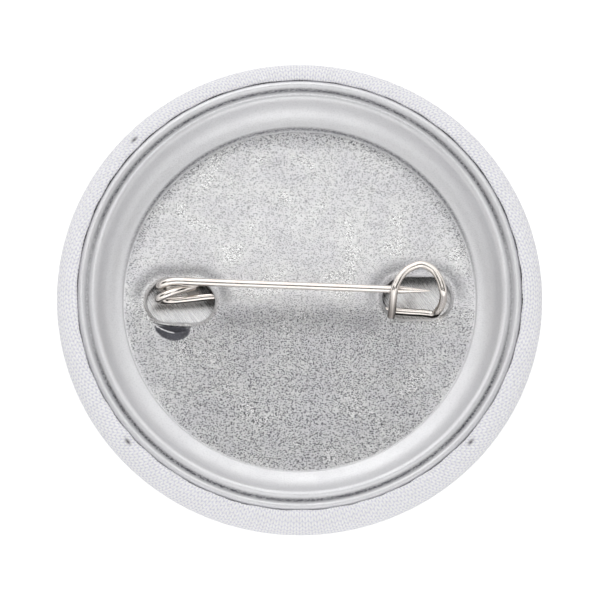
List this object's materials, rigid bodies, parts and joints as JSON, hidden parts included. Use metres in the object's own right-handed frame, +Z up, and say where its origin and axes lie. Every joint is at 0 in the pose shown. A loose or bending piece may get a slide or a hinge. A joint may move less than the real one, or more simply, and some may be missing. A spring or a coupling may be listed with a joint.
{
  "type": "button badge",
  "caption": "Round domed button badge with a white knitted cover and a pressed steel back plate that carries a wire safety pin with a coil and a catch loop.",
  "frame": {"origin": "the point where the middle of the domed face touches the surface that the badge lies on, pin side up", "axes": "+Z up out of the back plate, +X along the pin towards the needle's point, +Y towards the side that the catch loop hooks over"},
  "size_m": [0.056, 0.056, 0.0071],
  "materials": {
    "white_knit": "white single-jersey knit with a faint lavender shade, wrapped over the rim",
    "brushed_tinplate": "tinplate with fine brushed lines on its inside",
    "orange_peel_tinplate": "satin tinplate, smooth on the rim and ring, coarse orange-peel grain on the disc",
    "nickel_wire": "bright nickel-plated spring wire"
  },
  "bodies": {
    "badge": {"front_shell": "brushed_tinplate", "fabric_cover": "white_knit", "back_plate": "orange_peel_tinplate", "pin_base": "nickel_wire", "pin_coil": "nickel_wire"},
    "needle": {"pin_needle": "nickel_wire"}
  },
  "joints": [
    {"name": "needle_open", "type": "hinge", "parent": "badge", "child": "needle", "pos_m": [-0.0161, 0.0016, 0.0039], "axis": [0, -0.1564, 0.9877], "range_deg": [0, 35]}
  ]
}
